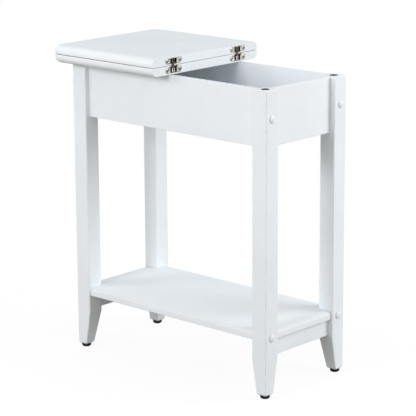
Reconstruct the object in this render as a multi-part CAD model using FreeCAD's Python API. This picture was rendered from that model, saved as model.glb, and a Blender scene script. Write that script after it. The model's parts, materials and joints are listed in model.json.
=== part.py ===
"""Flip top end table: four tapered legs, a storage box with a hinged half top, and a lower shelf.

The table stands on Z = 0 with its long side along X. The left half of the top is fixed and the right
half is stored folded over onto it, so the box is open on the right. All lengths are millimetres.
"""

import FreeCAD, Part
import math
import os

from FreeCAD import Vector

# Overall sizes
CLOSED_HEIGHT = 610.0
TOP_LENGTH = 564.0
TOP_DEPTH = 300.0
LEG_SPAN_X = 508.0
LEG_SPAN_Y = 234.0

# Top halves
TOP_THICKNESS = 17.0
TOP_CORNER_RADIUS = 24.0
TOP_UNDER_RADIUS = 12.0
TOP_UPPER_RADIUS = 1.5
SEAM_GAP = 1.0
STACK_GAP = 0.8

# Legs and their feet
LEG_SIZE = 35.0
LEG_CORNER_RADIUS = 2.5
LEG_TOP_BEVEL = 1.2
FOOT_SIZE = 23.0
FOOT_TAPER_BELOW_RAIL = 3.0
FOOT_BEVEL = 3.5
GLIDE_RADIUS = 9.5
GLIDE_HEIGHT = 6.5
GLIDE_SOLE_RADIUS = 5.2
GLIDE_ROUND_HEIGHT = 5.2
GLIDE_ROUND_SHARE = 0.4
NAIL_RADIUS = 1.3
NAIL_LENGTH = 16.0
NAIL_HEAD_RADIUS = 3.0
NAIL_HEAD_HEIGHT = 1.2
NAIL_HEAD_RECESS = 1.2

# Box under the top
APRON_HEIGHT = 108.0
APRON_THICKNESS = 12.0
APRON_SETBACK = 10.5
APRON_EDGE_RADIUS = 1.0
FLOOR_THICKNESS = 4.0
FLOOR_RISE = 7.0
GROOVE_DEPTH = 5.0
GROOVE_CLEARANCE = 0.15
CLEAT_WIDTH = 12.5
CLEAT_HEIGHT = 14.0
CLEAT_LENGTH = 140.0
CLEAT_FROM_LEG = 8.0

# Felt bumpers let into the leg tops
FELT_RADIUS = 8.0
FELT_THICKNESS = 2.0
FELT_PROUD = 0.5
FELT_GAP = 0.2
FELT_EDGE = 0.3

# Shelf and lower rails
SHELF_THICKNESS = 17.0
SHELF_UNDERSIDE = 113.0
SHELF_SETBACK = 4.0
SHELF_UPPER_RADIUS = 7.0
SHELF_LOWER_RADIUS = 1.5
NOTCH_CLEARANCE = 0.3
RAIL_HEIGHT = 33.0

# Dowels
APRON_DOWEL_RADIUS = 4.0
APRON_DOWEL_LENGTH = 30.0
APRON_DOWEL_INSET = 26.0
RAIL_DOWEL_RADIUS = 3.0
RAIL_DOWEL_LENGTH = 24.0
RAIL_DOWEL_INSET = 8.0
DOWEL_CHAMFER = 0.8

# Connecting bolts, barrel nuts and caps
BOLT_RADIUS = 3.0
BOLT_LENGTH = 50.0
BOLT_HEAD_RADIUS = 6.0
BOLT_HEAD_HEIGHT = 4.0
BOLT_SEAT_DEPTH = 9.0
HEX_ACROSS_FLATS = 4.0
HEX_DEPTH = 2.5
COUNTERBORE_RADIUS = 6.7
NUT_RADIUS = 4.5
NUT_FROM_BOLT_TIP = 7.0
SHELF_BOLT_RISE = 6.5
APRON_NUT_LENGTH = 10.0
SHELF_NUT_LENGTH = 10.0
CAP_STEM_RADIUS = 6.5
CAP_STEM_LENGTH = 4.0
CAP_RADIUS = 7.0
CAP_FLANGE = 1.2
CAP_PROUD = 2.8

# Wood screws
SCREW_RADIUS = 1.7
SCREW_HEAD_RADIUS = 3.4
SCREW_HEAD_HEIGHT = 2.2
SCREW_TIP = 3.0
CLEAT_SIDE_SCREW_LENGTH = 20.0
CLEAT_UP_SCREW_LENGTH = 26.0
CLEAT_SIDE_SCREW_INSET = 20.0
CLEAT_UP_SCREW_INSET = 42.0
HINGE_SCREW_LENGTH = 18.0

# Concealed hinges
HINGE_FROM_END = 58.0
PLATE_LENGTH = 45.0
PLATE_HEIGHT = 11.6
PLATE_THICKNESS = 2.0
CUP_LENGTH = 27.0
CUP_HEIGHT = 9.8
CUP_DEPTH = 13.0
POCKET_DEPTH = 10.5
POCKET_SILL = 1.0
POCKET_SIDE_ROOM = 1.8
FIN_THICKNESS = 1.5
FIN_SPACING = 4.6
FIN_RECESS = 0.8
PLATE_SCREW_INSET = 5.6
LINK_INNER_RADIUS = 2.0
LINK_OUTER_RADIUS = 5.0
LINK_SIDE_LEAF = 2.4
LINK_MIDDLE_LEAF = 7.0
LINK_LEAF_GAP = 0.3
LINK_CLEARANCE = 0.25
RIVET_RADIUS = 0.9
RIVET_HEIGHT = 0.35
RIVET_BACK_DEG = 10.0
LINK_TAIL_DEG = 115.0
LINK_LAP_DEG = 6.0
LINK_TURN_DEG = 35.0
LINK_SLOT_MARGIN_DEG = 5.0

# Fits and cuts
DRILL_CLEARANCE = 0.12
CUT_OVERRUN = 2.0

# Places that follow from the sizes above
top_underside = CLOSED_HEIGHT - TOP_THICKNESS
frame_top = top_underside - FELT_GAP - FELT_PROUD
apron_underside = frame_top - APRON_HEIGHT
shelf_top = SHELF_UNDERSIDE + SHELF_THICKNESS
leg_outer_x = LEG_SPAN_X / 2
leg_outer_y = LEG_SPAN_Y / 2
leg_inner_x = leg_outer_x - LEG_SIZE
leg_inner_y = leg_outer_y - LEG_SIZE
apron_outer_x = leg_outer_x - APRON_SETBACK
apron_outer_y = leg_outer_y - APRON_SETBACK
apron_inner_x = apron_outer_x - APRON_THICKNESS
apron_inner_y = apron_outer_y - APRON_THICKNESS
apron_middle_x = (apron_outer_x + apron_inner_x) / 2
apron_middle_y = (apron_outer_y + apron_inner_y) / 2
rail_underside = SHELF_UNDERSIDE - RAIL_HEIGHT
taper_top = rail_underside - FOOT_TAPER_BELOW_RAIL
apron_bolt_z = frame_top - APRON_HEIGHT / 2
apron_bolt_y = apron_middle_y
shelf_bolt_z = SHELF_UNDERSIDE + SHELF_BOLT_RISE
shelf_bolt_y = leg_outer_y - LEG_SIZE / 2
bolt_seat_x = leg_outer_x - BOLT_SEAT_DEPTH
bolt_tip_x = bolt_seat_x - BOLT_LENGTH
nut_x = bolt_tip_x + NUT_FROM_BOLT_TIP
floor_underside = apron_underside + FLOOR_RISE
hinge_z = CLOSED_HEIGHT + STACK_GAP / 2
edge_x = -SEAM_GAP / 2
plate_z = top_underside + TOP_THICKNESS / 2
link_pack_half = LINK_MIDDLE_LEAF / 2 + LINK_LEAF_GAP + LINK_SIDE_LEAF
pocket_half = link_pack_half + RIVET_HEIGHT + LINK_CLEARANCE
# The stored pose reaches from the fixed half's end to the right-hand caps, and the origin is its middle.
stored_left_x = -TOP_LENGTH / 2
stored_right_x = leg_outer_x + CAP_PROUD
origin_x = (stored_left_x + stored_right_x) / 2

LEFT, RIGHT = -1, 1
FRONT, BACK = -1, 1
ENDS = {"left": LEFT, "right": RIGHT}
SIDES = {"front": FRONT, "back": BACK}
X_AXIS, Y_AXIS, Z_AXIS = Vector(1, 0, 0), Vector(0, 1, 0), Vector(0, 0, 1)
ORIGIN = Vector(0, 0, 0)


def block(x_a, x_b, y_a, y_b, z_a, z_b):
    """Box between two opposite corners, given in any order."""
    low = Vector(min(x_a, x_b), min(y_a, y_b), min(z_a, z_b))
    return Part.makeBox(abs(x_b - x_a), abs(y_b - y_a), abs(z_b - z_a), low)


def rod(radius, start, end):
    """Plain round bar between two points."""
    run = end - start
    return Part.makeCylinder(radius, run.Length, start, run)


def fused(shapes):
    """One clean solid out of several that touch or overlap."""
    whole = shapes[0].multiFuse(shapes[1:]) if len(shapes) > 1 else shapes[0]
    return whole.removeSplitter()


def cut(shape, tools):
    """The shape with every tool taken out of it."""
    return shape.cut(Part.makeCompound(tools))


def turned(profile, start, direction):
    """Solid of revolution: profile is (radius, distance along the axis) points, closed on the axis."""
    points = [Vector(radius, 0, along) for radius, along in profile]
    face = Part.Face(Part.makePolygon(points + points[:1]))
    solid = face.revolve(ORIGIN, Z_AXIS, 360)
    return placed(solid, start, direction)


def placed(solid, start, direction):
    """Moves a solid built along +Z from the origin to start, pointing along direction."""
    moved = solid.copy()
    moved.Placement = FreeCAD.Placement(start, FreeCAD.Rotation(Z_AXIS, direction))
    return moved


def section(x_a, x_b, y_a, y_b, z, radius):
    """Rounded rectangle at height z, as one closed wire."""
    x_low, x_high = sorted((x_a, x_b))
    y_low, y_high = sorted((y_a, y_b))
    bow = radius * (1 - math.sqrt(0.5))
    rounds = [
        ((x_high - radius, y_low), (x_high - bow, y_low + bow), (x_high, y_low + radius)),
        ((x_high, y_high - radius), (x_high - bow, y_high - bow), (x_high - radius, y_high)),
        ((x_low + radius, y_high), (x_low + bow, y_high - bow), (x_low, y_high - radius)),
        ((x_low, y_low + radius), (x_low + bow, y_low + bow), (x_low + radius, y_low)),
    ]
    edges = []
    last = Vector(*rounds[-1][2], z)
    for corner in rounds:
        first, middle, end = (Vector(*point, z) for point in corner)
        edges.append(Part.makeLine(last, first))
        edges.append(Part.Arc(first, middle, end).toShape())
        last = end
    return Part.Wire(edges)


def stadium(length, height, y, x_face, depth):
    """Bar with round ends, long in Y, whose face lies at x_face and which reaches depth towards -X."""
    radius = height / 2
    half_run = length / 2 - radius
    core = block(x_face - depth, x_face, y - half_run, y + half_run, plate_z - radius, plate_z + radius)
    ends = []
    for side in (FRONT, BACK):
        centre = Vector(x_face, y + side * half_run, plate_z)
        ends.append(rod(radius, centre - X_AXIS * depth, centre))
    return fused([core, *ends])


def ring_sector(inner, outer, from_deg, to_deg, y_a, y_b):
    """Curved bar about the hinge axis, with its angles measured from +X towards +Z."""

    def at(radius, degrees):
        turn = math.radians(degrees)
        return Vector(radius * math.cos(turn), y_a, hinge_z + radius * math.sin(turn))

    middle = (from_deg + to_deg) / 2
    outline = [
        Part.Arc(at(outer, from_deg), at(outer, middle), at(outer, to_deg)).toShape(),
        Part.makeLine(at(outer, to_deg), at(inner, to_deg)),
        Part.Arc(at(inner, to_deg), at(inner, middle), at(inner, from_deg)).toShape(),
        Part.makeLine(at(inner, from_deg), at(outer, from_deg)),
    ]
    return Part.Face(Part.Wire(outline)).extrude(Vector(0, y_b - y_a, 0))


def flipped(shape):
    """The same shape on the folded half: its mirror image in the level plane through the hinge axis."""
    return shape.mirror(Vector(0, 0, hinge_z), Z_AXIS)


def screw(start, direction, length):
    """Countersunk wood screw whose head is flush at start."""
    profile = [
        (0, 0),
        (SCREW_HEAD_RADIUS, 0),
        (SCREW_RADIUS, SCREW_HEAD_HEIGHT),
        (SCREW_RADIUS, length - SCREW_TIP),
        (0, length),
    ]
    return turned(profile, start, direction)


def screw_hole(start, direction, length):
    """The space that a screw takes, with its clearance all round."""
    profile = [
        (0, -CUT_OVERRUN),
        (SCREW_HEAD_RADIUS + DRILL_CLEARANCE, -CUT_OVERRUN),
        (SCREW_HEAD_RADIUS + DRILL_CLEARANCE, 0),
        (SCREW_RADIUS + DRILL_CLEARANCE, SCREW_HEAD_HEIGHT),
        (SCREW_RADIUS + DRILL_CLEARANCE, length + DRILL_CLEARANCE),
        (0, length + DRILL_CLEARANCE),
    ]
    return turned(profile, start, direction)


# Bolts: their places first, because legs, aprons, shelf, nuts and caps all follow them

def bolt_places(z, y):
    """(place on the leg's outer face, direction of the bolt) for the four bolts at one height."""
    for end in (LEFT, RIGHT):
        for side in (FRONT, BACK):
            yield Vector(end * leg_outer_x, side * y, z), X_AXIS * -end


def apron_bolt_places():
    return list(bolt_places(apron_bolt_z, apron_bolt_y))


def shelf_bolt_places():
    return list(bolt_places(shelf_bolt_z, shelf_bolt_y))


def all_bolt_places():
    """The upper four bolts, into the long aprons, then the lower four, into the shelf."""
    return [*apron_bolt_places(), *shelf_bolt_places()]


def bolt(face, direction):
    """Connecting bolt with a hexagon socket, seated in the leg's counterbore."""
    head_back = BOLT_SEAT_DEPTH - BOLT_HEAD_HEIGHT
    profile = [
        (0, head_back),
        (BOLT_HEAD_RADIUS, head_back),
        (BOLT_HEAD_RADIUS, BOLT_SEAT_DEPTH),
        (BOLT_RADIUS, BOLT_SEAT_DEPTH),
        (BOLT_RADIUS, BOLT_SEAT_DEPTH + BOLT_LENGTH),
        (0, BOLT_SEAT_DEPTH + BOLT_LENGTH),
    ]
    corner = HEX_ACROSS_FLATS / math.sqrt(3)
    hexagon = [
        Vector(corner * math.cos(math.radians(60 * k)), corner * math.sin(math.radians(60 * k)), head_back)
        for k in range(6)
    ]
    socket = Part.Face(Part.makePolygon(hexagon + hexagon[:1])).extrude(Vector(0, 0, HEX_DEPTH))
    return turned(profile, face, direction).cut(placed(socket, face, direction))


def bolt_hole(face, direction):
    """Counterbore and clearance hole for one bolt, through leg and into the piece behind it."""
    counterbore = rod(COUNTERBORE_RADIUS, face - direction * CUT_OVERRUN, face + direction * BOLT_SEAT_DEPTH)
    reach = BOLT_SEAT_DEPTH + BOLT_LENGTH + DRILL_CLEARANCE
    shank = rod(BOLT_RADIUS + DRILL_CLEARANCE, face, face + direction * reach)
    return fused([counterbore, shank])


def cap(face, direction):
    """Domed push-in cap with a straight flange, which hides a bolt head."""
    dome_rise = CAP_PROUD - CAP_FLANGE
    dome_radius = (CAP_RADIUS ** 2 + dome_rise ** 2) / (2 * dome_rise)
    rim = face - direction * CAP_FLANGE
    stem = rod(CAP_STEM_RADIUS, rim, face + direction * CAP_STEM_LENGTH)
    flange = rod(CAP_RADIUS, rim, face)
    ball = Part.makeSphere(dome_radius, rim + direction * (dome_radius - dome_rise))
    disc = rod(CAP_RADIUS + CUT_OVERRUN, rim - direction * (dome_rise + CUT_OVERRUN), rim)
    return fused([stem, flange, ball.common(disc)])


def cross_nut(centre, axis, length):
    """Barrel nut with its bolt hole across it."""
    half = axis * (length / 2)
    barrel = rod(NUT_RADIUS, centre - half, centre + half)
    reach = X_AXIS * (NUT_RADIUS + CUT_OVERRUN)
    return barrel.cut(rod(BOLT_RADIUS + DRILL_CLEARANCE, centre - reach, centre + reach))


def cross_nut_hole(centre, mouth, length, to_face):
    """Blind hole for a barrel nut, open towards the mouth's face of the board."""
    deep = length / 2 + DRILL_CLEARANCE
    out = to_face + CUT_OVERRUN
    return rod(NUT_RADIUS + DRILL_CLEARANCE, centre - mouth * deep, centre + mouth * out)


def apron_nut_centre(end, side):
    return Vector(end * nut_x, side * apron_bolt_y, apron_bolt_z)


def shelf_nut_centre(end, side):
    return Vector(end * nut_x, side * shelf_bolt_y, shelf_bolt_z)


# Dowels between the legs and the end pieces

def end_dowel_places(heights, length):
    """(start, end) of the dowels that run along Y from an end piece into its two legs."""
    for end in (LEFT, RIGHT):
        for side in (FRONT, BACK):
            for z in heights:
                x = end * apron_middle_x
                joint = side * leg_inner_y
                yield Vector(x, joint - length / 2, z), Vector(x, joint + length / 2, z)


apron_dowel_heights = (apron_underside + APRON_DOWEL_INSET, frame_top - APRON_DOWEL_INSET)
rail_dowel_heights = (rail_underside + RAIL_DOWEL_INSET, SHELF_UNDERSIDE - RAIL_DOWEL_INSET)


def dowel(radius, start, end):
    """Round wooden pin with bevelled ends."""
    length = (end - start).Length
    profile = [
        (0, 0),
        (radius - DOWEL_CHAMFER, 0),
        (radius, DOWEL_CHAMFER),
        (radius, length - DOWEL_CHAMFER),
        (radius - DOWEL_CHAMFER, length),
        (0, length),
    ]
    return turned(profile, start, end - start)


def dowels(radius, heights, length):
    return [dowel(radius, start, end) for start, end in end_dowel_places(heights, length)]


def dowel_holes():
    """Every dowel hole, a little longer and wider than its dowel."""
    slack = Y_AXIS * DRILL_CLEARANCE
    kinds = [
        (APRON_DOWEL_RADIUS, apron_dowel_heights, APRON_DOWEL_LENGTH),
        (RAIL_DOWEL_RADIUS, rail_dowel_heights, RAIL_DOWEL_LENGTH),
    ]
    return [
        rod(radius + DRILL_CLEARANCE, start - slack, end + slack)
        for radius, heights, length in kinds
        for start, end in end_dowel_places(heights, length)
    ]


# Legs, glides and felt bumpers

def leg_centre(end, side):
    return Vector(end * (leg_outer_x - LEG_SIZE / 2), side * (leg_outer_y - LEG_SIZE / 2), 0)


def foot_centre(end, side):
    return Vector(end * (leg_outer_x - FOOT_SIZE / 2), side * (leg_outer_y - FOOT_SIZE / 2), 0)


def leg(end, side):
    """Square post whose two inner faces taper in to the foot; its outer faces stay straight."""

    def level(size, z, inset):
        return section(
            end * (leg_outer_x - inset),
            end * (leg_outer_x - size + inset),
            side * (leg_outer_y - inset),
            side * (leg_outer_y - size + inset),
            z,
            LEG_CORNER_RADIUS,
        )

    foot_growth = (LEG_SIZE - FOOT_SIZE) * FOOT_BEVEL / (taper_top - GLIDE_HEIGHT)
    levels = [
        level(FOOT_SIZE, GLIDE_HEIGHT, FOOT_BEVEL),
        level(FOOT_SIZE + foot_growth, GLIDE_HEIGHT + FOOT_BEVEL, 0),
        level(LEG_SIZE, taper_top, 0),
        level(LEG_SIZE, frame_top - LEG_TOP_BEVEL, 0),
        level(LEG_SIZE, frame_top, LEG_TOP_BEVEL),
    ]
    post = Part.makeLoft(levels, True, True)
    top = leg_centre(end, side) + Z_AXIS * frame_top
    foot = foot_centre(end, side) + Z_AXIS * GLIDE_HEIGHT
    felt_depth = FELT_THICKNESS - FELT_PROUD
    felt_recess = rod(FELT_RADIUS + DRILL_CLEARANCE, top - Z_AXIS * felt_depth, top + Z_AXIS * CUT_OVERRUN)
    nail_depth = NAIL_LENGTH + DRILL_CLEARANCE
    nail_hole = rod(NAIL_RADIUS + DRILL_CLEARANCE, foot - Z_AXIS * CUT_OVERRUN, foot + Z_AXIS * nail_depth)
    bolt_holes = [bolt_hole(*place) for place in all_bolt_places()]
    return cut(post, [felt_recess, nail_hole, *bolt_holes, *dowel_holes()])


def glide(end, side):
    """Black plastic disc under a foot, rounded to a flat sole, with a recess for its nail."""
    bulge = GLIDE_SOLE_RADIUS + (GLIDE_RADIUS - GLIDE_SOLE_RADIUS) * (1 - GLIDE_ROUND_SHARE)
    head_seat = NAIL_HEAD_RECESS + NAIL_HEAD_HEIGHT
    profile = [
        (NAIL_RADIUS + DRILL_CLEARANCE, GLIDE_HEIGHT),
        (GLIDE_RADIUS, GLIDE_HEIGHT),
        (GLIDE_RADIUS, GLIDE_ROUND_HEIGHT),
        (bulge, GLIDE_ROUND_HEIGHT * GLIDE_ROUND_SHARE),
        (GLIDE_SOLE_RADIUS, 0),
        (NAIL_HEAD_RADIUS + DRILL_CLEARANCE, 0),
        (NAIL_HEAD_RADIUS + DRILL_CLEARANCE, head_seat),
        (NAIL_RADIUS + DRILL_CLEARANCE, head_seat),
    ]
    return turned(profile, foot_centre(end, side), Z_AXIS)


def glide_nail(end, side):
    """Steel nail through the glide, with its head set up inside the sole."""
    top = GLIDE_HEIGHT + NAIL_LENGTH
    profile = [
        (0, NAIL_HEAD_RECESS),
        (NAIL_HEAD_RADIUS, NAIL_HEAD_RECESS),
        (NAIL_HEAD_RADIUS, NAIL_HEAD_RECESS + NAIL_HEAD_HEIGHT),
        (NAIL_RADIUS, NAIL_HEAD_RECESS + NAIL_HEAD_HEIGHT),
        (NAIL_RADIUS, top - NAIL_HEAD_RADIUS),
        (0, top),
    ]
    return turned(profile, foot_centre(end, side), Z_AXIS)


def felt_bumper(end, side):
    """Felt disc with softened rims, let into the top of a leg."""
    profile = [
        (0, 0),
        (FELT_RADIUS, 0),
        (FELT_RADIUS, FELT_THICKNESS - FELT_EDGE),
        (FELT_RADIUS - FELT_EDGE, FELT_THICKNESS),
        (0, FELT_THICKNESS),
    ]
    seat = frame_top - FELT_THICKNESS + FELT_PROUD
    return turned(profile, leg_centre(end, side) + Z_AXIS * seat, Z_AXIS)


# Storage box

def eased(board, radius, along):
    """Board with its four long edges, those along one axis, rounded."""

    def runs_along(edge):
        run = edge.Vertexes[-1].Point - edge.Vertexes[0].Point
        return abs(run.dot(along)) > run.Length * math.cos(math.radians(1))

    return board.makeFillet(radius, [edge for edge in board.Edges if runs_along(edge)])


def box_floor(clearance):
    """Bottom of the box, notched round the legs; the clearance grows it into its groove."""
    reach_x = apron_inner_x + GROOVE_DEPTH - GROOVE_CLEARANCE + clearance
    reach_y = apron_inner_y + GROOVE_DEPTH - GROOVE_CLEARANCE + clearance
    board = block(
        -reach_x, reach_x, -reach_y, reach_y,
        floor_underside - clearance, floor_underside + FLOOR_THICKNESS + clearance,
    )
    notches = [
        block(
            end * (leg_inner_x - NOTCH_CLEARANCE), end * leg_outer_x,
            side * (leg_inner_y - NOTCH_CLEARANCE), side * leg_outer_y,
            apron_underside, frame_top,
        )
        for end in (LEFT, RIGHT)
        for side in (FRONT, BACK)
    ]
    return cut(board, notches)


def long_apron(side):
    """Front or back of the box, bolted between the legs."""
    board = block(
        -leg_inner_x, leg_inner_x, side * apron_outer_y, side * apron_inner_y, apron_underside, frame_top
    )
    board = eased(board, APRON_EDGE_RADIUS, X_AXIS)
    nuts = [
        cross_nut_hole(apron_nut_centre(end, side), Y_AXIS * -side, APRON_NUT_LENGTH, APRON_THICKNESS / 2)
        for end in (LEFT, RIGHT)
    ]
    bolts = [bolt_hole(*place) for place in apron_bolt_places()]
    screws = [cleat_side_screw_hole(side, x) for x in cleat_side_screw_xs()]
    return cut(board, [box_floor(GROOVE_CLEARANCE), *nuts, *bolts, *screws])


def end_apron(end):
    """Left or right end of the box, dowelled between two legs."""
    board = block(
        end * apron_outer_x, end * apron_inner_x, -leg_inner_y, leg_inner_y, apron_underside, frame_top
    )
    board = eased(board, APRON_EDGE_RADIUS, Y_AXIS)
    return cut(board, [box_floor(GROOVE_CLEARANCE), *dowel_holes()])


def lower_rail(end):
    """Rail under the end of the shelf, dowelled between two legs."""
    board = block(
        end * apron_outer_x, end * apron_inner_x, -leg_inner_y, leg_inner_y,
        rail_underside, SHELF_UNDERSIDE,
    )
    board = eased(board, APRON_EDGE_RADIUS, Y_AXIS)
    return cut(board, dowel_holes())


# Cleats that hold the fixed half down

cleat_left_x = -leg_inner_x + CLEAT_FROM_LEG
cleat_right_x = cleat_left_x + CLEAT_LENGTH


def cleat_side_screw_xs():
    return (cleat_left_x + CLEAT_SIDE_SCREW_INSET, cleat_right_x - CLEAT_SIDE_SCREW_INSET)


def cleat_up_screw_xs():
    return (cleat_left_x + CLEAT_UP_SCREW_INSET, cleat_right_x - CLEAT_UP_SCREW_INSET)


def cleat_side_screw_start(side, x):
    return Vector(x, side * (apron_inner_y - CLEAT_WIDTH), top_underside - CLEAT_HEIGHT / 2)


def cleat_up_screw_start(side, x):
    return Vector(x, side * (apron_inner_y - CLEAT_WIDTH / 2), top_underside - CLEAT_HEIGHT)


def cleat_side_screw_hole(side, x):
    return screw_hole(cleat_side_screw_start(side, x), Y_AXIS * side, CLEAT_SIDE_SCREW_LENGTH)


def cleat_up_screw_hole(side, x):
    return screw_hole(cleat_up_screw_start(side, x), Z_AXIS, CLEAT_UP_SCREW_LENGTH)


def cleat(side):
    """Batten along the inside of a long apron, screwed to it and up into the fixed half."""
    board = block(
        cleat_left_x, cleat_right_x, side * apron_inner_y, side * (apron_inner_y - CLEAT_WIDTH),
        top_underside - CLEAT_HEIGHT, top_underside,
    )
    holes = [cleat_side_screw_hole(side, x) for x in cleat_side_screw_xs()]
    holes += [cleat_up_screw_hole(side, x) for x in cleat_up_screw_xs()]
    return cut(board, holes)


# Shelf

def shelf():
    """Shelf board with soft upper edges, notched round the legs and bolted to them."""
    reach_x = leg_outer_x - SHELF_SETBACK
    reach_y = leg_outer_y - SHELF_SETBACK
    board = block(-reach_x, reach_x, -reach_y, reach_y, SHELF_UNDERSIDE, shelf_top)
    upper = [edge for edge in board.Edges if edge.BoundBox.ZMin > SHELF_UNDERSIDE + SHELF_THICKNESS / 2]
    board = board.makeFillet(SHELF_UPPER_RADIUS, upper)
    lower = [edge for edge in board.Edges if edge.BoundBox.ZMax < SHELF_UNDERSIDE + SHELF_LOWER_RADIUS]
    board = board.makeFillet(SHELF_LOWER_RADIUS, lower)
    notches = [
        block(
            end * leg_inner_x, end * leg_outer_x,
            side * (leg_inner_y - NOTCH_CLEARANCE), side * leg_outer_y,
            SHELF_UNDERSIDE - CUT_OVERRUN, shelf_top + CUT_OVERRUN,
        )
        for end in (LEFT, RIGHT)
        for side in (FRONT, BACK)
    ]
    nuts = [
        cross_nut_hole(shelf_nut_centre(end, side), -Z_AXIS, SHELF_NUT_LENGTH, SHELF_BOLT_RISE)
        for end in (LEFT, RIGHT)
        for side in (FRONT, BACK)
    ]
    bolts = [bolt_hole(*place) for place in shelf_bolt_places()]
    return cut(board, [*notches, *nuts, *bolts])


# Hinges, first on the fixed half; the folded half carries their mirror images

hinge_ys = tuple(side * (TOP_DEPTH / 2 - HINGE_FROM_END) for side in (FRONT, BACK))


def plate_screw_starts(y):
    offset = PLATE_LENGTH / 2 - PLATE_SCREW_INSET
    return [Vector(edge_x, y + side * offset, plate_z) for side in (FRONT, BACK)]


def link_slot(y):
    """Curved slot about the hinge axis in which the links slide home."""
    last = LINK_TAIL_DEG + LINK_TURN_DEG + LINK_SLOT_MARGIN_DEG
    first = last - LINK_TAIL_DEG - LINK_TURN_DEG
    return ring_sector(
        LINK_INNER_RADIUS - LINK_CLEARANCE,
        LINK_OUTER_RADIUS + LINK_CLEARANCE,
        -last, -first,
        y - pocket_half, y + pocket_half,
    )


def hinge_cup(y):
    """Cast hinge half: a round-ended face plate on a cup, with a pocket and two guide fins for the links."""
    plate = stadium(PLATE_LENGTH, PLATE_HEIGHT, y, edge_x, PLATE_THICKNESS)
    cup = stadium(CUP_LENGTH, CUP_HEIGHT, y, edge_x, CUP_DEPTH)
    half_height = PLATE_HEIGHT / 2 - POCKET_SILL
    pocket_top = hinge_z - LINK_OUTER_RADIUS - LINK_CLEARANCE
    pocket = block(
        edge_x + CUT_OVERRUN, edge_x - POCKET_DEPTH,
        y - pocket_half - POCKET_SIDE_ROOM, y + pocket_half + POCKET_SIDE_ROOM,
        plate_z - half_height, plate_z + half_height,
    )
    fins = [
        block(
            edge_x - FIN_RECESS, edge_x - POCKET_DEPTH,
            y + side * FIN_SPACING / 2 - FIN_THICKNESS / 2, y + side * FIN_SPACING / 2 + FIN_THICKNESS / 2,
            plate_z - half_height, pocket_top,
        )
        for side in (FRONT, BACK)
    ]
    holes = [screw_hole(start, -X_AXIS, HINGE_SCREW_LENGTH) for start in plate_screw_starts(y)]
    shell = cut(fused([plate, cup]), [pocket, link_slot(y), *holes])
    return fused([shell, *fins])


def hinge_mortise(y):
    """What a hinge half and its screws take out of the board's edge."""
    slack = 2 * DRILL_CLEARANCE
    face = edge_x + CUT_OVERRUN
    recess = stadium(PLATE_LENGTH + slack, PLATE_HEIGHT + slack, y, face, PLATE_THICKNESS + CUT_OVERRUN)
    bore = stadium(CUP_LENGTH + slack, CUP_HEIGHT + slack, y, face, CUP_DEPTH + DRILL_CLEARANCE + CUT_OVERRUN)
    holes = [screw_hole(start, -X_AXIS, HINGE_SCREW_LENGTH) for start in plate_screw_starts(y)]
    return [recess, bore, link_slot(y), *holes]


def fixed_links(y):
    """The two outer leaves of a hinge's links, riveted at the lap, which slide in the fixed half's cup."""
    inner = LINK_MIDDLE_LEAF / 2 + LINK_LEAF_GAP
    rivet_reach = (LINK_INNER_RADIUS + LINK_OUTER_RADIUS) / 2
    rivet_turn = math.radians(-RIVET_BACK_DEG)
    leaves = []
    for side in (FRONT, BACK):
        outer_y = y + side * link_pack_half
        leaf = ring_sector(
            LINK_INNER_RADIUS, LINK_OUTER_RADIUS, -LINK_TAIL_DEG, LINK_LAP_DEG, y + side * inner, outer_y
        )
        rivet_x = rivet_reach * math.cos(rivet_turn)
        rivet_z = hinge_z + rivet_reach * math.sin(rivet_turn)
        rivet_foot = Vector(rivet_x, outer_y, rivet_z)
        rivet = rod(RIVET_RADIUS, rivet_foot, rivet_foot + Y_AXIS * (side * RIVET_HEIGHT))
        leaves.append(fused([leaf, rivet]))
    return leaves


def flap_link(y):
    """The middle leaf of a hinge's links, which slides in the folded half's cup."""
    half = LINK_MIDDLE_LEAF / 2
    return ring_sector(
        LINK_INNER_RADIUS, LINK_OUTER_RADIUS, -LINK_LAP_DEG, LINK_TAIL_DEG, y - half, y + half
    )


# Top halves

def half_top():
    """One half of the top, on the left: square at the hinge edge and rounded under on the other three."""
    left, right = -TOP_LENGTH / 2, edge_x
    front, back = -TOP_DEPTH / 2, TOP_DEPTH / 2
    board = block(left, right, front, back, top_underside, CLOSED_HEIGHT)
    upright = [edge for edge in board.Edges if edge.BoundBox.ZLength > TOP_THICKNESS / 2]
    outer = [edge for edge in upright if edge.BoundBox.XMax < (left + right) / 2]
    board = board.makeFillet(TOP_CORNER_RADIUS, outer)

    def rim(z):
        """The three outer sides of the outline at one level."""
        return [
            edge
            for edge in board.Edges
            if edge.BoundBox.ZLength < TOP_UPPER_RADIUS
            and abs(edge.BoundBox.ZMin - z) < TOP_UPPER_RADIUS
            and edge.BoundBox.XMin < right - TOP_UPPER_RADIUS
        ]

    board = board.makeFillet(TOP_UNDER_RADIUS, rim(top_underside))
    return board.makeFillet(TOP_UPPER_RADIUS, rim(CLOSED_HEIGHT))


def hinged_half():
    """A half top with both of its hinge mortises."""
    return cut(half_top(), [tool for y in hinge_ys for tool in hinge_mortise(y)])


def fixed_top():
    ups = [cleat_up_screw_hole(side, x) for side in (FRONT, BACK) for x in cleat_up_screw_xs()]
    return cut(hinged_half(), ups)


# Output

def save(node, solids):
    """Writes one node, moved so that the stored pose is centred on the origin."""
    os.makedirs("parts", exist_ok=True)
    shape = Part.makeCompound(solids) if len(solids) > 1 else solids[0]
    shape = shape.copy()
    shape.translate(Vector(-origin_x, 0, 0))
    for solid in shape.Solids:
        assert solid.isValid() and solid.Volume > 0, node
    shape.exportStep(os.path.join("parts", node + ".step"))
    print(f"{node}: {len(shape.Solids)} solids, {shape.Volume / 1000:.1f} cm3")


def corners():
    return [(end, side) for end in (LEFT, RIGHT) for side in (FRONT, BACK)]


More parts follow.
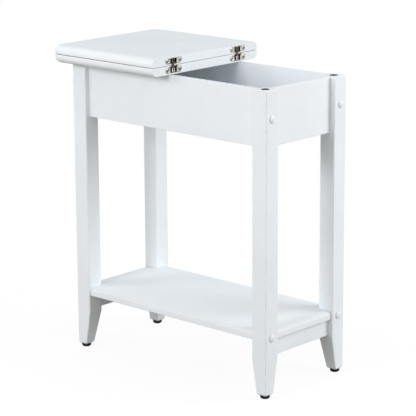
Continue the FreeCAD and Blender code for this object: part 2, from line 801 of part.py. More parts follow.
def main():
    for side_name, side in SIDES.items():
        for end_name, end in ENDS.items():
            save(f"leg_{side_name}_{end_name}", [leg(end, side)])
        save(f"{side_name}_apron", [long_apron(side)])
        save(f"{side_name}_cleat", [cleat(side)])
    for end_name, end in ENDS.items():
        save(f"{end_name}_apron", [end_apron(end)])
        save(f"{end_name}_lower_rail", [lower_rail(end)])
    save("box_floor", [box_floor(0)])
    save("shelf", [shelf()])
    save("fixed_top", [fixed_top()])
    save("flip_top", [flipped(hinged_half())])

    save("apron_bolts", [bolt(*place) for place in apron_bolt_places()])
    save("shelf_bolts", [bolt(*place) for place in shelf_bolt_places()])
    save("bolt_caps", [cap(*place) for place in all_bolt_places()])
    save("apron_barrel_nuts", [cross_nut(apron_nut_centre(*c), Y_AXIS, APRON_NUT_LENGTH) for c in corners()])
    save("shelf_barrel_nuts", [cross_nut(shelf_nut_centre(*c), Z_AXIS, SHELF_NUT_LENGTH) for c in corners()])
    save("apron_dowels", dowels(APRON_DOWEL_RADIUS, apron_dowel_heights, APRON_DOWEL_LENGTH))
    save("rail_dowels", dowels(RAIL_DOWEL_RADIUS, rail_dowel_heights, RAIL_DOWEL_LENGTH))
    side_screws = [
        screw(cleat_side_screw_start(side, x), Y_AXIS * side, CLEAT_SIDE_SCREW_LENGTH)
        for side in (FRONT, BACK)
        for x in cleat_side_screw_xs()
    ]
    up_screws = [
        screw(cleat_up_screw_start(side, x), Z_AXIS, CLEAT_UP_SCREW_LENGTH)
        for side in (FRONT, BACK)
        for x in cleat_up_screw_xs()
    ]
    save("cleat_apron_screws", side_screws)
    save("cleat_top_screws", up_screws)
    save("felt_bumpers", [felt_bumper(*c) for c in corners()])
    save("foot_glides", [glide(*c) for c in corners()])
    save("glide_nails", [glide_nail(*c) for c in corners()])

    for side_name, y in zip(SIDES, hinge_ys):
        cup = hinge_cup(y)
        save(f"hinge_cup_fixed_{side_name}", [cup])
        save(f"hinge_cup_flip_{side_name}", [flipped(cup)])
    hinge_screws = [
        screw(start, -X_AXIS, HINGE_SCREW_LENGTH) for y in hinge_ys for start in plate_screw_starts(y)
    ]
    save("hinge_screws_fixed", hinge_screws)
    save("hinge_screws_flip", [flipped(one) for one in hinge_screws])
    save("hinge_links_fixed", [leaf for y in hinge_ys for leaf in fixed_links(y)])
    save("hinge_links_flip", [flap_link(y) for y in hinge_ys])


main()
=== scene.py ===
"""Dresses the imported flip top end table: lacquered boards, detailed fittings, camera and stage."""

import json
import math

import bmesh
import bpy
from bpy.props import FloatProperty, FloatVectorProperty, PointerProperty
from mathutils import Matrix, Vector


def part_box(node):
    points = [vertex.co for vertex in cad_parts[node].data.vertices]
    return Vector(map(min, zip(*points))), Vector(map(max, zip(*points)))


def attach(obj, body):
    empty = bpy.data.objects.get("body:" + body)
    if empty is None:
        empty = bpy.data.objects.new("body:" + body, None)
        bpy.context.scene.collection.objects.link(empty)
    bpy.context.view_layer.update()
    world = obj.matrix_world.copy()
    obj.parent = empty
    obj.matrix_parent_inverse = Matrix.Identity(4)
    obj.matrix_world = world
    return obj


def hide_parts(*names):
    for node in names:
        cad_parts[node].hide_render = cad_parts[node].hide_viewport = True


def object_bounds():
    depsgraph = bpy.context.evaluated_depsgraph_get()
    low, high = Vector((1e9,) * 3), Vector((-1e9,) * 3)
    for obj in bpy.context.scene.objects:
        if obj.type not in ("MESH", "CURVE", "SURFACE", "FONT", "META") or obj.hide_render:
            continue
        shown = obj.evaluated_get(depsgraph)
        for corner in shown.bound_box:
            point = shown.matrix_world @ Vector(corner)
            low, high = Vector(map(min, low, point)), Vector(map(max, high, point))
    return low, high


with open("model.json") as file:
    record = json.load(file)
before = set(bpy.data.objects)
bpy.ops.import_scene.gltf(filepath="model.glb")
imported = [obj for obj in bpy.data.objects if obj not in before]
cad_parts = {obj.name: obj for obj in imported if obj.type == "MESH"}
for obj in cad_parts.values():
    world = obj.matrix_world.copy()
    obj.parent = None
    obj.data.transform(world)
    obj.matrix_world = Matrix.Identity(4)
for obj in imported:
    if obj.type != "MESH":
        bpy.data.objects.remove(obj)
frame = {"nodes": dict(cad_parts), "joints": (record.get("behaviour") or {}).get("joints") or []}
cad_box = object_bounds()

bl_info = {
    "name": "Flip top end table",
    "version": (1, 0, 0),
    "blender": (4, 5, 0),
    "location": "3D View > Sidebar > Table",
    "description": "Finishes and fittings for an end table with a half top that folds over",
    "category": "Object",
}

MM = 0.001
HAIR = 0.01 * MM
FULL_TURN = 2 * math.pi
QUARTER_TURN = math.radians(90)
# Edges that turn by more than this are eased.
SHARP = math.radians(50)
# A face looks up or down where its normal's Z is past this.
LEVEL = 0.9

ROUND_STEPS = 64
# A circle of 50 steps has no point on its middle line, so it splits cleanly into two half rounds.
STADIUM_STEPS = 50
SINK_STEPS = 32
SCREW_STEPS = 48
LEAF_STEPS = 24
RIVET_STEPS = 24
FELT_STEPS = 72


def middle_of(node):
    """Middle of a node's box."""
    low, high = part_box(node)
    return (low + high) / 2


SIDES = ("front", "back")
LEGS = [f"leg_{side}_{end}" for side in SIDES for end in ("left", "right")]
PANELS = [
    "front_apron", "back_apron", "left_apron", "right_apron", "box_floor",
    "front_cleat", "back_cleat",
]
ZINC_PLATED = [
    "apron_bolts", "shelf_bolts", "apron_barrel_nuts", "shelf_barrel_nuts",
    "cleat_apron_screws", "cleat_top_screws", "glide_nails",
]
HINGE_HALVES = (("fixed", "table"), ("flip", "flap"))

HINGE_AXIS = Vector(next(j["pos_m"] for j in frame["joints"] if j["name"] == "flap_fold"))
PLATE_LOW, PLATE_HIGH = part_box("hinge_cup_fixed_front")
PLATE_MIDDLE = middle_of("hinge_cup_fixed_front")
HINGE_REACH = abs(PLATE_MIDDLE.y)


# Sizes and colours

def linear(code):
    """Linear colour of an sRGB hex value."""
    parts = [int(code[k:k + 2], 16) / 255 for k in (1, 3, 5)]
    return tuple(p / 12.92 if p <= 0.04045 else ((p + 0.055) / 1.055) ** 2.4 for p in parts)


def colour(name, description, code):
    """A colour, given as an sRGB hex value."""
    return FloatVectorProperty(
        name=name, description=description, subtype="COLOR", size=3, min=0, max=1,
        default=linear(code),
    )


def place(name, description, default):
    """A place in the scene, in metres."""
    return FloatVectorProperty(
        name=name, description=description, subtype="TRANSLATION", unit="LENGTH", size=3,
        default=default,
    )


def number(name, description, default, **kind):
    """A number, with its unit or subtype where one fits."""
    return FloatProperty(name=name, description=description, default=default, **kind)


def length(name, description, default):
    """A length in metres."""
    return number(name, description, default, unit="LENGTH", subtype="DISTANCE")


def angle(name, description, degrees):
    """An angle, given in degrees."""
    return number(name, description, math.radians(degrees), unit="ROTATION", subtype="ANGLE")


def power(name, description, watts):
    """The power of a lamp."""
    return number(name, description, watts, unit="POWER")


class TableColours(bpy.types.PropertyGroup):
    """Colours of the finishes."""

    lacquer: colour("Lacquer", "White lacquer as sprayed", "#E9EEF1")
    lacquer_thin: colour("Thin lacquer", "Lacquer where it lies a little thinner", "#E5EAED")
    lacquer_edge: colour("Lacquer on edges", "Lacquer drawn thin over a sharp edge", "#DFDFDD")
    # Painted shade: greyer lacquer on the tops' seam faces and the shelf's eased edges.
    edge_shade: colour("Lacquer on sawn edges", "Lacquer soaked into a sawn edge", "#DEE2E5")
    # Painted shade: darker lacquer in corners and seams, where shade falls.
    corner_shade: colour("Shade", "Dust in the lacquer's corners and seams", "#85827F")
    nickel: colour("Nickel", "Satin nickel plate", "#A09D97")
    # Painted shade: a darker copy of the nickel, which dims the links' lamp highlights.
    nickel_link_shade: colour("Nickel links", "Dull nickel plate on the links", "#76736F")
    # Painted shade: darker nickel along the plates' rounded rims.
    nickel_rim_shade: colour("Nickel rims", "Nickel plate where it turns over a rim", "#4E4B48")
    # Painted shade: nearly black in the hinges' slots, pockets and corners.
    slot_shade: colour("Old grease", "Grease and dust in the hinges' corners", "#171513")
    zinc: colour("Zinc", "Zinc plate on steel", "#B4B8BD")
    zinc_dull: colour("Dull zinc", "Zinc plate gone dull", "#8D9196")
    felt: colour("Felt", "Brown pressed felt", "#2B1815")
    felt_fibre: colour("Felt fibre", "Paler loose fibres in the felt", "#3E2722")
    nylon: colour("Black nylon", "Moulded black nylon", "#0A0A0B")
    polyethylene: colour("White polyethylene", "Moulded white polyethylene", "#E3E8EB")
    beech: colour("Beech", "Pale beech wood", "#D2AE85")
    beech_fleck: colour("Beech fleck", "Darker ray flecks in the beech", "#A97F56")
    floor: colour("Floor", "Floor as it throws light back", "#72685D")
    sky: colour("Studio light", "Soft light from all round", "#F6F8FB")


class TableSizes(bpy.types.PropertyGroup):
    """Sizes of the fittings that the boards do not fix."""

    plate_thickness: length("Plate thickness", "Face plate of a hinge half", 2.0 * MM)
    plate_rim: length("Plate rim", "Rounded rim of the face plate", 0.9 * MM)
    plate_ease: length("Plate easing", "Eased edges of the cuts in a hinge half", 0.12 * MM)
    cup_length: length("Cup length", "Cup behind the face plate", 27.0 * MM)
    cup_height: length("Cup height", "Cup behind the face plate", 9.8 * MM)
    pocket_length: length("Pocket length", "Pocket for the links, along the seam", 17.2 * MM)
    pocket_height: length("Pocket height", "Pocket for the links, across the seam", 9.6 * MM)
    pocket_depth: length("Pocket depth", "Pocket for the links", 10.5 * MM)
    fin_thickness: length("Fin thickness", "Guide fins in the pocket", 1.5 * MM)
    fin_spacing: length("Fin spacing", "Between the guide fins", 4.6 * MM)
    fin_recess: length("Fin recess", "Guide fins below the plate's face", 0.8 * MM)
    screw_inset: length("Screw inset", "Plate screw from the plate's end", 5.6 * MM)
    screw_head: length("Screw head", "Radius of a plate screw's head", 3.4 * MM)
    screw_shank: length("Screw shank", "Radius of a plate screw's shank", 1.7 * MM)
    screw_taper: length("Screw taper", "Depth of a plate screw's head", 2.2 * MM)
    screw_crown: length("Screw crown", "Rise of a plate screw's head", 0.35 * MM)
    screw_length: length("Screw length", "Plate screw from end to end", 18.0 * MM)
    screw_tip: length("Screw tip", "Pointed end of a plate screw", 3.0 * MM)
    screw_slack: length("Screw slack", "Room round a plate screw's head", 0.4 * MM)
    cross_width: length("Cross width", "Arms of the screws' cross recess", 1.2 * MM)
    cross_length: length("Cross length", "Cross recess from end to end", 4.4 * MM)
    cross_depth: length("Cross depth", "Cross recess", 1.5 * MM)
    link_inner: length("Link inner radius", "Curved links, inside", 2.0 * MM)
    link_outer: length("Link outer radius", "Curved links, outside", 5.0 * MM)
    link_side: length("Side leaf", "Thickness of an outer link leaf", 2.4 * MM)
    link_middle: length("Middle leaf", "Thickness of the middle link leaf", 7.0 * MM)
    link_gap: length("Leaf gap", "Between two link leaves", 0.3 * MM)
    link_rim: length("Link rim", "Eased edges of the link leaves", 0.35 * MM)
    link_slack: length("Link slack", "Room round the links", 0.25 * MM)
    rivet: length("Rivet", "Radius of a link rivet", 0.9 * MM)
    rivet_rise: length("Rivet rise", "Height of a link rivet", 0.35 * MM)
    cap_flange: length("Cap flange", "Straight rim of a bolt cap", 1.2 * MM)
    cap_rim: length("Cap rim", "Rounding of a bolt cap's flange", 0.25 * MM)
    cap_rim_drop: length("Cap rim drop", "Middle of that rounding below the flange", 0.2 * MM)
    cap_gap: length("Cap gap", "Between a bolt cap's flange and the leg", 0.7 * MM)
    cap_neck: length("Cap neck", "Depth of the gap under the flange", 1.8 * MM)
    cap_dimple: length("Cap dimple", "Radius of the gate mark in a bolt cap", 0.9 * MM)
    cap_gate: length("Gate depth", "Gate mark below a bolt cap's crown", 0.12 * MM)
    cap_stem: length("Cap stem", "Radius of a bolt cap's stem", 6.5 * MM)
    cap_depth: length("Cap depth", "Length of a bolt cap's stem", 4.0 * MM)
    felt_rim: length("Felt rim", "Rounding of a felt disc's rim", 0.6 * MM)
    felt_nap: length("Felt nap", "Unevenness of the felt", 0.14 * MM)
    felt_clump: length("Felt clump", "Width of the felt's uneven clumps", 1.1 * MM)
    glide_collar: length("Glide collar", "Straight collar of a glide under the foot", 1.6 * MM)
    glide_rim: length("Glide rim", "Rounding of a glide's collar", 0.4 * MM)
    glide_sole: length("Glide sole", "Radius of the flat sole of a glide", 5.2 * MM)
    glide_groove: length("Glide groove", "Groove under the collar of a glide", 0.5 * MM)
    glide_nail: length("Glide nail", "Radius of a glide nail's head", 3.0 * MM)
    glide_slack: length("Glide slack", "Room round a glide nail's head", 0.12 * MM)
    glide_seat: length("Glide seat", "Depth of the hole for that head", 2.4 * MM)
    glide_chamfer: length("Glide chamfer", "Mouth of the hole in a glide", 0.3 * MM)


class TableStage(bpy.types.PropertyGroup):
    """Camera, lamps and floor."""

    camera_place: place("Camera", "Place of the camera", (2.4569, -2.6736, 1.2070))
    camera_yaw: angle("Yaw", "Turn of the camera about the upright", 42.407)
    camera_pitch: angle("Pitch", "Tilt of the camera below the level", -13.875)
    camera_roll: angle("Roll", "Lean of the camera", -0.308)
    frame_width: number("Frame", "Width of the camera's frame", 36.0, unit="CAMERA")
    lens: number("Lens", "Focal length for that frame", 163.06, unit="CAMERA")
    sky_strength: number("Sky", "Strength of the light from all round", 0.64)
    front_place: place("Front lamp's place", "Straight in front", (0, -2.78, 1.44))
    front_power: power("Front lamp", "Soft lamp straight in front", 28.5)
    low_place: place("Low lamp's place", "Low at front right", (2.12, -2.12, 0.52))
    low_power: power("Low lamp", "Soft lamp low at front right", 11.5)
    left_place: place("Left lamp's place", "At front left", (-1.635, -2.25, 1.44))
    left_power: power("Left lamp", "Soft lamp at front left", 17.3)
    back_place: place("Back lamp's place", "At back right", (2.28, 1.66, 1.32))
    back_power: power("Back lamp", "Soft lamp at back right", 58.0)
    lamp_size: length("Lamp size", "Width across a soft lamp", 1.0)
    back_size: length("Back lamp size", "Width across the back lamp", 2.2)
    floor_size: length("Floor", "Edge of the floor", 30.0)
    shadow_start: length("Shadow start", "Where the floor's shadow begins to fade", 0.35)
    shadow_reach: length("Shadow reach", "Where it has faded to white", 1.1)
    shadow_share: number("Shadow", "How much of its shadow the floor shows", 0.08, subtype="FACTOR")


# Modelling by hand: a primitive, then edit mode, with faces and edges picked by their place.

def clear_selection():
    """Leaves edit mode with nothing selected."""
    if bpy.context.mode != "OBJECT":
        bpy.ops.object.mode_set(mode="OBJECT")
    bpy.ops.object.select_all(action="DESELECT")


def take(piece):
    """Makes the piece the only one selected."""
    clear_selection()
    piece.select_set(True)
    bpy.context.view_layer.objects.active = piece


def settle(piece, matrix):
    """Moves the piece there, and puts its place into its mesh."""
    take(piece)
    piece.matrix_world = matrix
    bpy.ops.object.transform_apply(location=True, rotation=True, scale=True)


def begin(name, primitive, **settings):
    """Starts a piece from a primitive and opens it in edit mode, with nothing picked."""
    clear_selection()
    primitive(**settings)
    piece = bpy.context.active_object
    piece.name = name
    bpy.ops.object.transform_apply(location=True, rotation=True, scale=True)
    bpy.ops.object.mode_set(mode="EDIT")
    bpy.ops.mesh.select_all(action="DESELECT")
    return piece


def pick(piece, kind, test):
    """Picks the points, edges or faces of the piece that pass the test."""
    mesh = bmesh.from_edit_mesh(piece.data)
    parts = {"VERT": mesh.verts, "EDGE": mesh.edges, "FACE": mesh.faces}[kind]
    chosen = [part for part in parts if test(part)]
    if not chosen:
        raise RuntimeError(f"{piece.name}: nothing to pick")
    bpy.ops.mesh.select_mode(type=kind)
    bpy.ops.mesh.select_all(action="DESELECT")
    for part in chosen:
        part.select_set(True)
    bmesh.update_edit_mesh(piece.data)


def close_up(piece):
    """Merges doubled points, turns every face outwards and leaves edit mode."""
    if bpy.context.mode != "EDIT_MESH":
        take(piece)
        bpy.ops.object.mode_set(mode="EDIT")
    bpy.ops.mesh.select_all(action="SELECT")
    bpy.ops.mesh.remove_doubles(threshold=HAIR / 10)
    bpy.ops.mesh.normals_make_consistent(inside=False)
    bpy.ops.object.mode_set(mode="OBJECT")


def lathe(name, profile, steps=ROUND_STEPS):
    """Turned piece about +Z, from a profile of (radius, height) points from axis to axis."""
    piece = begin(name, bpy.ops.mesh.primitive_plane_add, size=MM)
    first = bmesh.from_edit_mesh(piece.data).verts
    first.ensure_lookup_table()
    keep = first[0].co.copy()
    pick(piece, "VERT", lambda v: (v.co - keep).length > HAIR)
    bpy.ops.mesh.delete(type="VERT")
    bpy.ops.mesh.select_all(action="SELECT")
    start = Vector((profile[0][0], 0, profile[0][1]))
    bpy.ops.transform.translate(value=start - keep)
    for (r_a, z_a), (r_b, z_b) in zip(profile, profile[1:]):
        step = (r_b - r_a, 0, z_b - z_a)
        bpy.ops.mesh.extrude_vertices_move(TRANSFORM_OT_translate={"value": step})
    bpy.ops.mesh.select_all(action="SELECT")
    bpy.ops.mesh.spin(steps=steps, angle=FULL_TURN, center=(0, 0, 0), axis=(0, 0, 1))
    close_up(piece)
    return piece


def arc(radius, height, bend, from_deg, to_deg, steps):
    """Profile points on an arc with this centre, bend radius and two angles."""
    turns = [math.radians(from_deg + (to_deg - from_deg) * k / steps) for k in range(steps + 1)]
    return [(radius + bend * math.cos(t), height + bend * math.sin(t)) for t in turns]


def dome_of(radius, rise):
    """Bend radius of a shallow dome, and the degrees from its crown to its rim."""
    bow = (radius ** 2 + rise ** 2) / (2 * rise)
    return bow, math.degrees(math.asin(radius / bow))


def block(name, low, high):
    """Block between two corners, left in object mode, for cutting with."""
    low, high = Vector(low), Vector(high)
    piece = begin(
        name, bpy.ops.mesh.primitive_cube_add, size=1, location=(low + high) / 2, scale=high - low,
    )
    bpy.ops.object.mode_set(mode="OBJECT")
    return piece


def carve(piece, cutter):
    """Takes the cutter out of the piece, and removes the cutter."""
    take(piece)
    tool = piece.modifiers.new("carve", "BOOLEAN")
    tool.object = cutter
    tool.operation = "DIFFERENCE"
    tool.solver = "EXACT"
    bpy.ops.object.modifier_apply(modifier=tool.name)
    bpy.data.objects.remove(cutter)


def ease(piece, width, segments):
    """Takes the sharpness off the edges of the piece."""
    take(piece)
    eased = piece.modifiers.new("eased", "BEVEL")
    eased.width = width
    eased.segments = segments
    eased.limit_method = "ANGLE"
    eased.angle_limit = SHARP
    bpy.ops.object.modifier_apply(modifier=eased.name)


def copied(model, matrix):
    """A copy of the model with its own mesh, put in place there."""
    take(model)
    bpy.ops.object.duplicate()
    copy = bpy.context.active_object
    settle(copy, matrix)
    close_up(copy)
    return copy


def joined(pieces):
    """The first of the pieces, with the others joined into it."""
    take(pieces[0])
    for piece in pieces[1:]:
        piece.select_set(True)
    bpy.ops.object.join()
    return pieces[0]


def copied_set(name, model, matrices):
    """One piece out of a copy of the model at each place; the model itself goes."""
    copies = [copied(model, matrix) for matrix in matrices]
    bpy.data.objects.remove(model)
    piece = joined(copies)
    piece.name = name
    return piece


def fit(piece, finish, body, node, smooth_deg=35):
    """Finishes a piece: its shading, material and body, and hides the node that it stands for."""
    take(piece)
    bpy.ops.object.shade_smooth_by_angle(angle=math.radians(smooth_deg))
    piece.data.name = piece.name
    piece.data.materials.clear()
    piece.data.materials.append(finish)
    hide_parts(node)
    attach(piece, body)


# Finishes

MIX_FACTOR, MIX_A, MIX_B, MIX_RESULT = 0, 6, 7, 2
WHITE = (1, 1, 1, 1)
# Pattern scale along the wood, as a share of that across it.
GRAIN_STRETCH = 0.04
FLECK_STRETCH = 0.12
# Before a top board's seam face, where the painted shade starts and where it is full.
SEAM_SHADE_START, SEAM_SHADE_FULL = 0.6 * MM, 0.2 * MM
# Z of an eased edge's middle normal, and how far from it the painted shade starts and is full.
EASED_MIDDLE, EASED_START, EASED_FULL = 0.6, 0.39, 0.3


def wire(tree, node, inputs):
    """Sets a node's inputs, each to a value or to the socket that it is linked to."""
    for key, value in inputs.items():
        if isinstance(value, bpy.types.NodeSocket):
            tree.links.new(value, node.inputs[key])
        else:
            node.inputs[key].default_value = value


def add(tree, kind, inputs=None, **settings):
    """Adds a shader node with its settings and inputs."""
    made = tree.nodes.new("ShaderNode" + kind)
    for name, value in settings.items():
        setattr(made, name, value)
    wire(tree, made, inputs or {})
    return made


def per(size_mm):
    """Pattern scale for features about this many millimetres across."""
    return 1 / (size_mm * MM)


def opaque(rgb):
    """The colour with full cover."""
    return (*rgb, 1)


def new_finish(name):
    """A new material with its shader and the place on the object that its patterns read."""
    finish = bpy.data.materials.new(name)
    finish.use_nodes = True
    tree = finish.node_tree
    return finish, tree, tree.nodes["Principled BSDF"], add(tree, "TexCoord").outputs["Object"]


def sprayed_lacquer(name, colours, grain_scale=None, seam=None, eased=False):
    """Satin white lacquer. It looks smooth and even, with a faint orange peel in its gloss, a
    slightly uneven thickness, a greyer line where it draws thin over an edge, and painted shade
    in seams and corners. On solid wood the grain shows through. The seam faces of the top boards,
    and the eased edges of a lying board, get painted shade and stay a little greyer."""
    finish, tree, shader, spot = new_finish(name)
    drift = add(tree, "TexNoise", {"Vector": spot, "Scale": per(140), "Detail": 3.0}).outputs["Fac"]
    thin = add(tree, "MapRange", {"Value": drift, "From Min": 0.38, "From Max": 0.68})
    layers = [(thin, colours.lacquer_thin)]
    facing = add(tree, "NewGeometry").outputs["True Normal"]
    # Painted shade: greyer lacquer on the seam faces of the top boards.
    if seam is not None:
        along = add(tree, "SeparateXYZ", {0: spot}).outputs["X"]
        shaded = add(
            tree, "MapRange",
            {"Value": along, "From Min": seam - SEAM_SHADE_START, "From Max": seam - SEAM_SHADE_FULL},
        )
        layers.append((shaded, colours.edge_shade))
    # Painted shade: greyer lacquer on the shelf's eased edges, which face up and out, to dim their
    # highlight.
    if eased:
        upward = add(tree, "SeparateXYZ", {0: facing}).outputs["Z"]
        slant = add(tree, "Math", {0: upward, 1: EASED_MIDDLE}, operation="SUBTRACT").outputs[0]
        off = add(tree, "Math", {0: slant}, operation="ABSOLUTE").outputs[0]
        turning = add(
            tree, "MapRange", {"Value": off, "From Min": EASED_START, "From Max": EASED_FULL},
        )
        layers.append((turning, colours.edge_shade))
    soft = add(tree, "Bevel", {"Radius": 1.2 * MM}, samples=4).outputs["Normal"]
    bent = add(tree, "VectorMath", {0: soft, 1: facing}, operation="DOT_PRODUCT").outputs["Value"]
    edge = add(tree, "MapRange", {"Value": bent, "From Min": 0.995, "From Max": 0.8, "To Max": 0.6})
    # Painted shade: the lacquer darkens where ambient occlusion finds corners and seams.
    air = add(tree, "AmbientOcclusion", {"Distance": 4 * MM}, samples=6).outputs["AO"]
    nook = add(tree, "MapRange", {"Value": air, "From Min": 0.55, "From Max": 0.15, "To Max": 0.8})
    layers += [(edge, colours.lacquer_edge), (nook, colours.corner_shade)]
    tone = opaque(colours.lacquer)
    for share, rgb in layers:
        tone = add(
            tree, "Mix",
            {MIX_FACTOR: share.outputs["Result"], MIX_A: tone, MIX_B: opaque(rgb)},
            data_type="RGBA",
        ).outputs[MIX_RESULT]
    # Real orange peel is 1 to 2 mm across; it is drawn at 3 mm so that it shows.
    peel = add(tree, "TexNoise", {"Vector": spot, "Scale": per(3), "Detail": 1.0}).outputs["Fac"]
    gloss = add(tree, "TexNoise", {"Vector": spot, "Scale": per(40), "Detail": 4.0}).outputs["Fac"]
    rough = add(tree, "MapRange", {"Value": gloss, "To Min": 0.56, "To Max": 0.72})
    bump = add(tree, "Bump", {"Strength": 0.12, "Distance": 0.05 * MM, "Height": peel})
    if grain_scale:
        drawn_out = add(tree, "Mapping", {"Vector": spot, "Scale": grain_scale}).outputs["Vector"]
        grain = add(tree, "TexNoise", {"Vector": drawn_out, "Scale": per(2.2), "Detail": 3.0})
        bump = add(
            tree, "Bump",
            {"Strength": 0.35, "Distance": 0.08 * MM, "Height": grain.outputs["Fac"],
             "Normal": bump.outputs["Normal"]},
        )
    wire(tree, shader, {
        "Base Color": tone, "Roughness": rough.outputs["Result"], "Specular IOR Level": 0.28,
        "Normal": bump.outputs["Normal"],
    })
    return finish


def satin_nickel(name, face, colours):
    """Satin nickel plate on a zinc casting: soft grey gloss, faintly grainy, with painted shade
    along its rims and nearly black painted shade in its slots and corners."""
    finish, tree, shader, spot = new_finish(name)
    grain = add(tree, "TexNoise", {"Vector": spot, "Scale": per(0.5), "Detail": 3.0}).outputs["Fac"]
    cloud = add(tree, "TexNoise", {"Vector": spot, "Scale": per(5), "Detail": 2.0}).outputs["Fac"]
    # Painted shade: the nickel darkens along rims, where the bevelled normal turns away from the
    # face.
    soft = add(tree, "Bevel", {"Radius": 0.4 * MM}, samples=4).outputs["Normal"]
    facing = add(tree, "NewGeometry").outputs["True Normal"]
    bent = add(tree, "VectorMath", {0: soft, 1: facing}, operation="DOT_PRODUCT").outputs["Value"]
    rim = add(tree, "MapRange", {"Value": bent, "From Min": 0.99, "From Max": 0.85})
    # Painted shade: nearly black where ambient occlusion finds slots, pockets and corners.
    air = add(tree, "AmbientOcclusion", {"Distance": 5 * MM}, samples=8).outputs["AO"]
    hollow = add(tree, "MapRange", {"Value": air, "From Min": 0.75, "From Max": 0.3})
    tone = opaque(face)
    for share, rgb in ((rim, colours.nickel_rim_shade), (hollow, colours.slot_shade)):
        tone = add(
            tree, "Mix",
            {MIX_FACTOR: share.outputs["Result"], MIX_A: tone, MIX_B: opaque(rgb)},
            data_type="RGBA",
        ).outputs[MIX_RESULT]
    rough = add(tree, "MapRange", {"Value": cloud, "To Min": 0.22, "To Max": 0.42})
    bump = add(tree, "Bump", {"Strength": 0.25, "Distance": 0.03 * MM, "Height": grain})
    wire(tree, shader, {
        "Base Color": tone, "Metallic": 1.0, "Roughness": rough.outputs["Result"],
        "Normal": bump.outputs["Normal"],
    })
    return finish


def zinc_plate(colours):
    """Zinc plated steel: cool grey with dull patches of a few millimetres."""
    finish, tree, shader, spot = new_finish("zinc_plated_steel")
    patch = add(tree, "TexNoise", {"Vector": spot, "Scale": per(3), "Detail": 4.0}).outputs["Fac"]
    tone = add(
        tree, "Mix",
        {MIX_FACTOR: patch, MIX_A: opaque(colours.zinc), MIX_B: opaque(colours.zinc_dull)},
        data_type="RGBA",
    )
    rough = add(tree, "MapRange", {"Value": patch, "To Min": 0.28, "To Max": 0.55})
    wire(tree, shader, {
        "Base Color": tone.outputs[MIX_RESULT], "Metallic": 1.0,
        "Roughness": rough.outputs["Result"],
    })
    return finish


def pressed_felt(colours):
    """Pressed wool felt: no gloss, pale fuzz at a grazing angle, short fibres lying every way."""
    finish, tree, shader, spot = new_finish("pressed_wool_felt")
    swirl = add(
        tree, "TexNoise", {"Vector": spot, "Scale": per(1.6), "Detail": 2.0, "Distortion": 2.5},
    ).outputs["Fac"]
    fibre = add(
        tree, "TexNoise", {"Vector": spot, "Scale": per(0.5), "Detail": 4.0, "Distortion": 3.0},
    ).outputs["Fac"]
    fuzz = add(tree, "MapRange", {"Value": fibre, "From Min": 0.5, "From Max": 0.75, "To Max": 0.7})
    tone = add(
        tree, "Mix",
        {MIX_FACTOR: fuzz.outputs["Result"], MIX_A: opaque(colours.felt),
         MIX_B: opaque(colours.felt_fibre)},
        data_type="RGBA",
    )
    clump = add(tree, "Bump", {"Strength": 0.5, "Distance": 0.2 * MM, "Height": swirl})
    bump = add(
        tree, "Bump",
        {"Strength": 0.6, "Distance": 0.1 * MM, "Height": fibre, "Normal": clump.outputs["Normal"]},
    )
    wire(tree, shader, {
        "Base Color": tone.outputs[MIX_RESULT], "Roughness": 1.0, "Sheen Weight": 0.04,
        "Specular IOR Level": 0.05, "Normal": bump.outputs["Normal"],
    })
    return finish


def moulded_plastic(name, rgb, smoothest, roughest, gloss):
    """Moulded plastic: even colour and a soft gloss, broken up by the mould's fine texture."""
    finish, tree, shader, spot = new_finish(name)
    # The texture of the mould is about 0.2 mm; it is drawn at 0.8 mm so that it shows.
    grit = add(tree, "TexNoise", {"Vector": spot, "Scale": per(0.8), "Detail": 2.0}).outputs["Fac"]
    flow = add(tree, "TexNoise", {"Vector": spot, "Scale": per(7), "Detail": 2.0}).outputs["Fac"]
    shade = add(tree, "MapRange", {"Value": flow, "To Min": 0.92, "To Max": 1.04})
    tone = add(tree, "HueSaturation", {"Color": opaque(rgb), "Value": shade.outputs["Result"]})
    rough = add(tree, "MapRange", {"Value": grit, "To Min": smoothest, "To Max": roughest})
    bump = add(tree, "Bump", {"Strength": 0.2, "Distance": 0.03 * MM, "Height": grit})
    wire(tree, shader, {
        "Base Color": tone.outputs["Color"], "Roughness": rough.outputs["Result"],
        "Specular IOR Level": gloss, "Normal": bump.outputs["Normal"],
    })
    return finish


def plain_beech(colours):
    """Planed beech, bare: pale pinkish brown with short dark ray flecks along the grain."""
    finish, tree, shader, spot = new_finish("planed_beech")
    along = add(tree, "Mapping", {"Vector": spot, "Scale": (FLECK_STRETCH, 1, 1)}).outputs["Vector"]
    rays = add(tree, "TexNoise", {"Vector": along, "Scale": per(0.9), "Detail": 2.0}).outputs["Fac"]
    ring = add(tree, "TexNoise", {"Vector": along, "Scale": per(9), "Detail": 2.0}).outputs["Fac"]
    dark = add(tree, "MapRange", {"Value": rays, "From Min": 0.58, "From Max": 0.7, "To Max": 0.7})
    band = add(tree, "MapRange", {"Value": ring, "To Max": 0.35})
    both = add(
        tree, "Math", {0: dark.outputs["Result"], 1: band.outputs["Result"]}, operation="MAXIMUM",
    )
    tone = add(
        tree, "Mix",
        {MIX_FACTOR: both.outputs["Value"], MIX_A: opaque(colours.beech),
         MIX_B: opaque(colours.beech_fleck)},
        data_type="RGBA",
    )
    bump = add(tree, "Bump", {"Strength": 0.3, "Distance": 0.05 * MM, "Height": rays})
    wire(tree, shader, {
        "Base Color": tone.outputs[MIX_RESULT], "Roughness": 0.6, "Normal": bump.outputs["Normal"],
    })
    return finish


def finish_nodes(nodes, finish):
    """Gives carried-over solids their finish."""
    for node in nodes:
        for held in frame["nodes"][node].material_slots:
            held.material = finish


# Pieces

